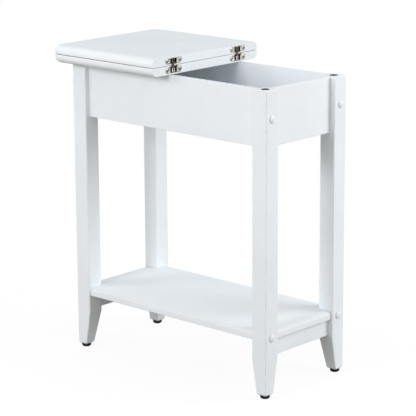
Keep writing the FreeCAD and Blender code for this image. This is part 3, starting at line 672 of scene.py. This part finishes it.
class TABLE_OT_boards(bpy.types.Operator):
    """Sprays the boards and legs with white lacquer"""

    bl_idname = "table.boards"
    bl_label = "Lacquered boards"

    def execute(self, context):
        colours = context.scene.table_colours
        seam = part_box("fixed_top")[1].x
        for nodes, timber, settings in (
            (LEGS, "upright_wood", {"grain_scale": (1, 1, GRAIN_STRETCH)}),
            (["left_lower_rail", "right_lower_rail"], "cross_wood",
             {"grain_scale": (1, GRAIN_STRETCH, 1)}),
            (PANELS, "fibreboard", {}),
            (["fixed_top", "flip_top"], "top_boards", {"seam": seam}),
            (["shelf"], "shelf_board", {"eased": True}),
        ):
            finish = sprayed_lacquer(f"sprayed_lacquer_on_{timber}", colours, **settings)
            finish_nodes(nodes, finish)
        return {"FINISHED"}


def seat_matrix(side, half):
    """Place of a hinge half, which is modelled flat: face up, length along Y, seam towards -X."""
    y = HINGE_REACH if side == "back" else -HINGE_REACH
    upright = Matrix.Rotation(QUARTER_TURN, 4, "Y")
    seat = Matrix.Translation((PLATE_HIGH.x, y, PLATE_MIDDLE.z)) @ upright
    if half == "fixed":
        return seat
    axis = Matrix.Translation((0, 0, HINGE_AXIS.z))
    return axis @ Matrix.Scale(-1, 4, (0, 0, 1)) @ axis.inverted() @ seat


def screw_spots(sizes):
    """The two screw places of a hinge half, on its face."""
    reach = (PLATE_HIGH.y - PLATE_LOW.y) / 2 - sizes.screw_inset
    return [Vector((0, sign * reach, 0)) for sign in (-1, 1)]


class TABLE_OT_hinge_plates(bpy.types.Operator):
    """Models the cast halves of the concealed hinges"""

    bl_idname = "table.hinge_plates"
    bl_label = "Hinge plates"

    def execute(self, context):
        sizes, colours = context.scene.table_sizes, context.scene.table_colours
        plate = self.plate_and_cup(sizes)
        self.carve_pocket(plate, sizes)
        for spot in screw_spots(sizes):
            self.carve_screw_hole(plate, sizes, spot)
        ease(plate, sizes.plate_ease, segments=2)
        finish = satin_nickel("satin_nickel_on_casting", colours.nickel, colours)
        for half, body in HINGE_HALVES:
            for side in SIDES:
                piece = copied(plate, seat_matrix(side, half))
                piece.name = f"hinge_plate_{half}_{side}"
                fit(piece, finish, body, f"hinge_cup_{half}_{side}")
        bpy.data.objects.remove(plate)
        return {"FINISHED"}

    def plate_and_cup(self, sizes):
        """Face plate with round ends and a rounded rim, and the cup drawn out of its back."""
        long, high = PLATE_HIGH.y - PLATE_LOW.y, PLATE_HIGH.z - PLATE_LOW.z
        deep, thick = PLATE_HIGH.x - PLATE_LOW.x, sizes.plate_thickness
        plate = begin(
            "hinge_plate", bpy.ops.mesh.primitive_cylinder_add, vertices=STADIUM_STEPS,
            radius=high / 2, depth=thick, end_fill_type="NGON", location=(0, 0, -thick / 2),
        )
        for sign in (-1, 1):
            pick(plate, "VERT", lambda v: v.co.y * sign > 0)
            bpy.ops.transform.translate(value=(0, sign * (long - high) / 2, 0))
        pick(plate, "FACE", lambda f: f.normal.z < -LEVEL)
        bpy.ops.mesh.inset(thickness=(high - sizes.cup_height) / 2)
        pull = (long - high + sizes.cup_height - sizes.cup_length) / 2
        inner = {v.index for v in bmesh.from_edit_mesh(plate.data).verts if v.select}
        for sign in (-1, 1):
            pick(plate, "VERT", lambda v: v.index in inner and v.co.y * sign > 0)
            bpy.ops.transform.translate(value=(0, -sign * pull, 0))
        reach = sizes.cup_length / 2 + HAIR
        pick(
            plate, "FACE",
            lambda f: f.normal.z < -LEVEL and all(abs(v.co.y) < reach for v in f.verts),
        )
        bpy.ops.mesh.extrude_region_move(TRANSFORM_OT_translate={"value": (0, 0, thick - deep)})
        pick(plate, "EDGE", lambda e: all(v.co.z > -HAIR for v in e.verts))
        bpy.ops.mesh.bevel(offset=sizes.plate_rim, segments=3, affect="EDGES")
        close_up(plate)
        return plate

    def carve_pocket(self, plate, sizes):
        """Three bays between two guide fins, and the round way in for the links at the seam."""
        x, y = sizes.pocket_height / 2, sizes.pocket_length / 2
        fin_in = (sizes.fin_spacing - sizes.fin_thickness) / 2
        fin_out = fin_in + sizes.fin_thickness
        bottom, shallow, above = -sizes.pocket_depth, -sizes.fin_recess, sizes.plate_thickness
        carve(plate, block("mouth", (-x, -y, shallow), (x, y, above)))
        for low, high in ((-y, -fin_out), (-fin_in, fin_in), (fin_out, y)):
            carve(plate, block("bay", (-x, low, bottom), (x, high, shallow / 2)))
        way_in = begin(
            "way_in", bpy.ops.mesh.primitive_cylinder_add, vertices=ROUND_STEPS,
            radius=sizes.link_outer + sizes.link_slack, depth=sizes.pocket_length,
            location=(PLATE_MIDDLE.z - HINGE_AXIS.z, 0, HINGE_AXIS.x - PLATE_HIGH.x),
            rotation=(QUARTER_TURN, 0, 0),
        )
        close_up(way_in)
        carve(plate, way_in)

    def carve_screw_hole(self, plate, sizes, spot):
        """Countersink for one screw, through the plate."""
        slack = sizes.screw_slack
        slope = (sizes.screw_head - sizes.screw_shank) / sizes.screw_taper
        above = sizes.plate_thickness / 4
        sink = begin(
            "sink", bpy.ops.mesh.primitive_cone_add, vertices=SINK_STEPS,
            radius1=sizes.screw_shank + slack, radius2=sizes.screw_head + slack + slope * above,
            depth=sizes.screw_taper + above,
            location=spot + Vector((0, 0, (above - sizes.screw_taper) / 2)),
        )
        close_up(sink)
        carve(plate, sink)


class TABLE_OT_hinge_screws(bpy.types.Operator):
    """Models the countersunk screws of the hinges"""

    bl_idname = "table.hinge_screws"
    bl_label = "Hinge screws"

    # Turn of a plate's first screw, and of its second past that.
    first_turn = math.radians(25)
    next_turn = math.radians(40)

    def execute(self, context):
        sizes = context.scene.table_sizes
        shank, end = sizes.screw_shank, sizes.screw_length
        bow, sweep = dome_of(sizes.screw_head, sizes.screw_crown)
        crown = arc(0, sizes.screw_crown - bow, bow, 90, 90 - sweep, 6)
        point = [(shank, -sizes.screw_taper), (shank, sizes.screw_tip - end), (0, -end)]
        screw = lathe("hinge_screw", [*crown, *point], SCREW_STEPS)
        long, wide = sizes.cross_length / 2, sizes.cross_width / 2
        bottom, above = -sizes.cross_depth, sizes.screw_crown * 2
        for x, y in ((long, wide), (wide, long)):
            carve(screw, block("arm", (-x, -y, bottom), (x, y, above)))
        finish = bpy.data.materials["satin_nickel_on_casting"]
        for half, body in HINGE_HALVES:
            places = [
                seat_matrix(side, half) @ Matrix.Translation(spot)
                @ Matrix.Rotation(self.first_turn + self.next_turn * k, 4, "Z")
                for side in SIDES
                for k, spot in enumerate(screw_spots(sizes))
            ]
            model = copied(screw, Matrix.Identity(4))
            piece = copied_set(f"plate_screws_{half}", model, places)
            fit(piece, finish, body, f"hinge_screws_{half}")
        bpy.data.objects.remove(screw)
        return {"FINISHED"}


class TABLE_OT_hinge_links(bpy.types.Operator):
    """Models the curved link leaves that bridge the seam"""

    bl_idname = "table.hinge_links"
    bl_label = "Hinge links"

    tail = math.radians(115)
    lap = math.radians(6)
    rivet_back = math.radians(10)

    def execute(self, context):
        sizes, colours = context.scene.table_sizes, context.scene.table_colours
        # Painted shade: the links get the darker copy of the nickel finish.
        finish = satin_nickel("shaded_nickel_on_links", colours.nickel_link_shade, colours)
        half = sizes.link_middle / 2
        inner = half + sizes.link_gap
        outer = inner + sizes.link_side
        sides = []
        for sign in (-1, 1):
            low, high = sorted((sign * inner, sign * outer))
            sides.append(self.leaf(sizes, low, high, -self.tail, self.lap))
            sides.append(self.rivet(sizes, sign * outer, sign))
        middle = self.leaf(sizes, -half, half, -self.lap, self.tail)
        places = [
            Matrix.Translation((HINGE_AXIS.x, sign * HINGE_REACH, HINGE_AXIS.z)) for sign in (-1, 1)
        ]
        for model, name in ((joined(sides), "fixed"), (middle, "flip")):
            piece = copied_set(f"link_leaves_{name}", model, places)
            fit(piece, finish, f"{name}_links", f"hinge_links_{name}")
        return {"FINISHED"}

    def leaf(self, sizes, y_low, y_high, from_turn, to_turn):
        """One curved leaf about the hinge axis, which lies at the origin along Y."""
        leaf = begin("leaf", bpy.ops.mesh.primitive_plane_add, size=1)
        bpy.ops.mesh.select_all(action="SELECT")
        wide = sizes.link_outer - sizes.link_inner
        bpy.ops.transform.resize(value=(wide, y_high - y_low, 1), center_override=(0, 0, 0))
        middle = (sizes.link_inner + sizes.link_outer) / 2
        bpy.ops.transform.translate(value=(middle, (y_low + y_high) / 2, 0))
        bpy.ops.mesh.spin(
            steps=LEAF_STEPS, angle=to_turn - from_turn, center=(0, 0, 0), axis=(0, 1, 0),
        )
        close_up(leaf)
        ease(leaf, sizes.link_rim, segments=3)
        settle(leaf, Matrix.Rotation(-from_turn, 4, "Y"))
        return leaf

    def rivet(self, sizes, y, sign):
        """Domed rivet head on an outer leaf, near the lap."""
        rise = sizes.rivet_rise
        dome = arc(sizes.rivet - rise, 0, rise, 0, 90, 4)
        head = lathe("rivet", [(0, 0), *dome, (0, rise)], RIVET_STEPS)
        middle = (sizes.link_inner + sizes.link_outer) / 2
        x, z = middle * math.cos(self.rivet_back), -middle * math.sin(self.rivet_back)
        outwards = Matrix.Rotation(-QUARTER_TURN * sign, 4, "X")
        settle(head, Matrix.Translation((x, y, z)) @ outwards)
        return head


class TABLE_OT_bolt_caps(bpy.types.Operator):
    """Models the domed caps over the bolt heads"""

    bl_idname = "table.bolt_caps"
    bl_label = "Bolt caps"

    # Share of the dome that is drawn above the rim's rounding.
    dome_share = 0.94
    # Flat bottom of the gate mark, as a share of its radius.
    gate_share = 0.8

    def execute(self, context):
        sizes = context.scene.table_sizes
        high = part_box("bolt_caps")[1]
        proud = high.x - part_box("leg_front_right")[1].x
        radius = high.z - middle_of("apron_bolts").z
        bow, sweep = dome_of(radius, proud - sizes.cap_flange)
        stem, deep = sizes.cap_stem, sizes.cap_depth
        neck, gate = radius - sizes.cap_neck, proud - sizes.cap_gate
        rim_middle = (radius - sizes.cap_rim, sizes.cap_flange - sizes.cap_rim_drop)
        dome = arc(0, proud - bow, bow, 90 - sweep * self.dome_share, 90, 12)
        profile = [
            (0, -deep),
            (stem, -deep),
            (stem, 0),
            (neck, 0),
            (neck, sizes.cap_gap),
            (radius, sizes.cap_gap),
            *arc(*rim_middle, sizes.cap_rim, 0, 60, 4),
            *[point for point in dome if point[0] > sizes.cap_dimple],
            (sizes.cap_dimple * self.gate_share, gate),
            (0, gate),
        ]
        cap = lathe("bolt_cap", profile)
        places = []
        for node in ("apron_bolts", "shelf_bolts"):
            bolt_low, bolt_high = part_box(node)
            head = (bolt_high.z - bolt_low.z) / 2
            for sign, face in (
                (-1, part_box("leg_front_left")[0].x), (1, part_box("leg_front_right")[1].x),
            ):
                outwards = Matrix.Rotation(QUARTER_TURN * sign, 4, "Y")
                for y in (bolt_low.y + head, bolt_high.y - head):
                    spot = Matrix.Translation((face, y, (bolt_low.z + bolt_high.z) / 2))
                    places.append(spot @ outwards)
        piece = copied_set("domed_caps", cap, places)
        finish = moulded_plastic(
            "moulded_white_polyethylene", context.scene.table_colours.polyethylene,
            smoothest=0.35, roughest=0.5, gloss=0.4,
        )
        fit(piece, finish, "table", "bolt_caps")
        return {"FINISHED"}


class TABLE_OT_felt_bumpers(bpy.types.Operator):
    """Models the felt discs let into the tops of the legs"""

    bl_idname = "table.felt_bumpers"
    bl_label = "Felt bumpers"

    def execute(self, context):
        sizes = context.scene.table_sizes
        low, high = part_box("felt_bumpers")
        radius = high.x - middle_of("leg_front_right").x
        rim = sizes.felt_rim
        flat, top = radius - rim, high.z - low.z - sizes.felt_nap
        side = [(radius, rim * k / 3) for k in range(4)]
        across = [(flat - flat * k / 8, top) for k in range(1, 9)]
        profile = [(0, 0), *side, *arc(flat, top - rim, rim, 0, 90, 4), *across]
        disc = lathe("felt_disc", profile, FELT_STEPS)
        self.roughen(disc, sizes)
        # Each disc is turned a radian past the last, so that no two look alike.
        places = [
            Matrix.Translation((*middle_of(leg).xy, low.z)) @ Matrix.Rotation(turn, 4, "Z")
            for turn, leg in enumerate(LEGS)
        ]
        piece = copied_set("felt_discs", disc, places)
        finish = pressed_felt(context.scene.table_colours)
        fit(piece, finish, "table", "felt_bumpers", smooth_deg=60)
        return {"FINISHED"}

    def roughen(self, disc, sizes):
        """Gives the disc the uneven surface of felt."""
        take(disc)
        nap = bpy.data.textures.new("felt_nap", "CLOUDS")
        nap.noise_scale = sizes.felt_clump
        fuzz = disc.modifiers.new("nap", "DISPLACE")
        fuzz.texture = nap
        fuzz.strength = sizes.felt_nap * 2
        fuzz.mid_level = 0.5
        bpy.ops.object.modifier_apply(modifier=fuzz.name)


class TABLE_OT_foot_glides(bpy.types.Operator):
    """Models the black glides under the feet"""

    bl_idname = "table.foot_glides"
    bl_label = "Foot glides"

    def execute(self, context):
        sizes = context.scene.table_sizes
        low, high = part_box("foot_glides")
        nail_low, nail_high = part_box("glide_nails")
        nail = sizes.glide_nail
        radius, tall = high.x - (nail_high.x - nail), high.z - low.z
        hole, seat, chamfer = nail + sizes.glide_slack, sizes.glide_seat, sizes.glide_chamfer
        collar, rim, dent = tall - sizes.glide_collar, sizes.glide_rim, sizes.glide_groove
        bend = radius - sizes.glide_sole
        profile = [
            (0, tall),
            *arc(radius - rim, tall - rim, rim, 90, 0, 4),
            *arc(radius - rim, collar + rim, rim, 0, -90, 4),
            (radius - dent, collar - dent / 4),
            (radius - dent / 4, collar - dent),
            *arc(sizes.glide_sole, bend, bend, 0, -90, 10),
            (hole + chamfer, 0),
            (hole, chamfer),
            (hole, seat),
            (0, seat),
        ]
        glide = lathe("glide", profile)
        places = [
            Matrix.Translation((x, y, 0))
            for x in (nail_low.x + nail, nail_high.x - nail)
            for y in (nail_low.y + nail, nail_high.y - nail)
        ]
        piece = copied_set("moulded_glides", glide, places)
        finish = moulded_plastic(
            "moulded_black_nylon", context.scene.table_colours.nylon,
            smoothest=0.4, roughest=0.6, gloss=0.15,
        )
        fit(piece, finish, "table", "foot_glides")
        return {"FINISHED"}


class TABLE_OT_fastenings(bpy.types.Operator):
    """Finishes the bolts, nuts, wood screws, nails and dowels"""

    bl_idname = "table.fastenings"
    bl_label = "Fastenings"

    def execute(self, context):
        colours = context.scene.table_colours
        finish_nodes(ZINC_PLATED, zinc_plate(colours))
        finish_nodes(["apron_dowels", "rail_dowels"], plain_beech(colours))
        return {"FINISHED"}


class TABLE_OT_stage(bpy.types.Operator):
    """Sets the camera, the soft studio light and the pale floor"""

    bl_idname = "table.stage"
    bl_label = "Stage"

    def execute(self, context):
        stage, colours = context.scene.table_stage, context.scene.table_colours
        context.scene.view_settings.view_transform = "Standard"
        self.camera(context, stage)
        self.world(context, stage, colours)
        self.floor(stage, colours)
        self.lamp("front_lamp", stage.front_place, stage.lamp_size, stage.front_power)
        self.lamp("low_lamp", stage.low_place, stage.lamp_size, stage.low_power)
        self.lamp("left_lamp", stage.left_place, stage.lamp_size, stage.left_power)
        self.lamp("back_lamp", stage.back_place, stage.back_size, stage.back_power)
        return {"FINISHED"}

    def camera(self, context, stage):
        """Camera at the photograph's place and angle."""
        clear_selection()
        bpy.ops.object.camera_add()
        camera = context.active_object
        camera.name = "photo_camera"
        turn = Matrix.Rotation(stage.camera_yaw, 4, "Z")
        tilt = Matrix.Rotation(QUARTER_TURN + stage.camera_pitch, 4, "X")
        lean = Matrix.Rotation(stage.camera_roll, 4, "Z")
        camera.matrix_world = Matrix.Translation(stage.camera_place) @ turn @ tilt @ lean
        camera.data.sensor_width = stage.frame_width
        camera.data.lens = stage.lens
        context.scene.camera = camera

    def seen(self, tree):
        """1 for rays that show the background itself: straight, mirrored or through glass."""
        path = add(tree, "LightPath").outputs
        shown = path["Is Camera Ray"]
        for ray in ("Is Glossy Ray", "Is Transmission Ray"):
            shown = add(tree, "Math", {0: shown, 1: path[ray]}, operation="MAXIMUM").outputs[0]
        return shown

    def world(self, context, stage, colours):
        """Soft light from all round, before a white background."""
        world = bpy.data.worlds.new("studio")
        context.scene.world = world
        world.use_nodes = True
        tree = world.node_tree
        light = tree.nodes["Background"]
        wire(tree, light, {"Color": opaque(colours.sky), "Strength": stage.sky_strength})
        white = add(tree, "Background", {"Color": WHITE, "Strength": 1.0})
        mixed = add(
            tree, "MixShader", {0: self.seen(tree), 1: light.outputs[0], 2: white.outputs[0]},
        )
        wire(tree, tree.nodes["World Output"], {"Surface": mixed.outputs[0]})

    def floor(self, stage, colours):
        """Matt white paper with a soft shadow near the feet, white further out."""
        clear_selection()
        bpy.ops.mesh.primitive_plane_add(size=stage.floor_size, location=(0, 0, -HAIR))
        floor = bpy.context.active_object
        floor.name = "studio_floor"
        bpy.ops.object.transform_apply(location=True, rotation=True, scale=True)
        finish, tree, shader, spot = new_finish("matt_white_paper")
        tree.nodes.remove(shader)
        seen = self.seen(tree)
        tone = add(
            tree, "Mix", {MIX_FACTOR: seen, MIX_A: opaque(colours.floor), MIX_B: WHITE},
            data_type="RGBA",
        )
        paper = add(tree, "BsdfDiffuse", {"Color": tone.outputs[MIX_RESULT]}).outputs[0]
        white = add(tree, "Emission", {"Color": WHITE, "Strength": 1.0}).outputs[0]
        away = add(tree, "VectorMath", {0: spot}, operation="LENGTH")
        near = add(
            tree, "MapRange",
            {"Value": away.outputs["Value"], "From Min": stage.shadow_start,
             "From Max": stage.shadow_reach, "To Min": stage.shadow_share, "To Max": 0.0},
            interpolation_type="SMOOTHSTEP",
        )
        shown = add(tree, "MixShader", {0: near.outputs["Result"], 1: white, 2: paper})
        chosen = add(tree, "MixShader", {0: seen, 1: paper, 2: shown.outputs[0]})
        # From below the floor is clear, so that the underside shows.
        clear = add(tree, "BsdfTransparent")
        below = add(tree, "NewGeometry").outputs["Backfacing"]
        sided = add(tree, "MixShader", {0: below, 1: chosen.outputs[0], 2: clear.outputs[0]})
        wire(tree, tree.nodes["Material Output"], {"Surface": sided.outputs[0]})
        floor.data.materials.append(finish)

    def lamp(self, name, spot, size, watts):
        """Round soft lamp that looks at the middle of the table."""
        clear_selection()
        bpy.ops.object.light_add(type="AREA", location=spot)
        lamp = bpy.context.active_object
        lamp.name = name
        middle = Vector((0, 0, cad_box[1][2] / 2))
        lamp.rotation_euler = (middle - Vector(spot)).to_track_quat("-Z", "Y").to_euler()
        lamp.data.shape = "DISK"
        lamp.data.size = size
        lamp.data.energy = watts


PIECES = (
    TABLE_OT_boards,
    TABLE_OT_hinge_plates,
    TABLE_OT_hinge_screws,
    TABLE_OT_hinge_links,
    TABLE_OT_bolt_caps,
    TABLE_OT_felt_bumpers,
    TABLE_OT_foot_glides,
    TABLE_OT_fastenings,
    TABLE_OT_stage,
)
GROUPS = {"table_colours": TableColours, "table_sizes": TableSizes, "table_stage": TableStage}


class TABLE_PT_panel(bpy.types.Panel):
    """Lists the table's pieces, sizes and colours"""

    bl_label = "Flip top end table"
    bl_idname = "TABLE_PT_panel"
    bl_space_type = "VIEW_3D"
    bl_region_type = "UI"
    bl_category = "Table"

    def draw(self, context):
        for piece in PIECES:
            self.layout.operator(piece.bl_idname)
        for name, group in GROUPS.items():
            held = getattr(context.scene, name)
            for value in group.__annotations__:
                self.layout.prop(held, value)


CLASSES = (*GROUPS.values(), *PIECES, TABLE_PT_panel)


def register():
    """Registers the classes and puts the value groups on the scene."""
    for held in CLASSES:
        bpy.utils.register_class(held)
    for name, group in GROUPS.items():
        setattr(bpy.types.Scene, name, PointerProperty(type=group))


def unregister():
    """Takes all of it away again."""
    for name in GROUPS:
        delattr(bpy.types.Scene, name)
    for held in reversed(CLASSES):
        bpy.utils.unregister_class(held)


def main():
    """Makes the pieces and the stage in order."""
    register()
    for piece in PIECES:
        family, name = piece.bl_idname.split(".")
        getattr(getattr(bpy.ops, family), name)()


if __name__ == "__main__":
    main()
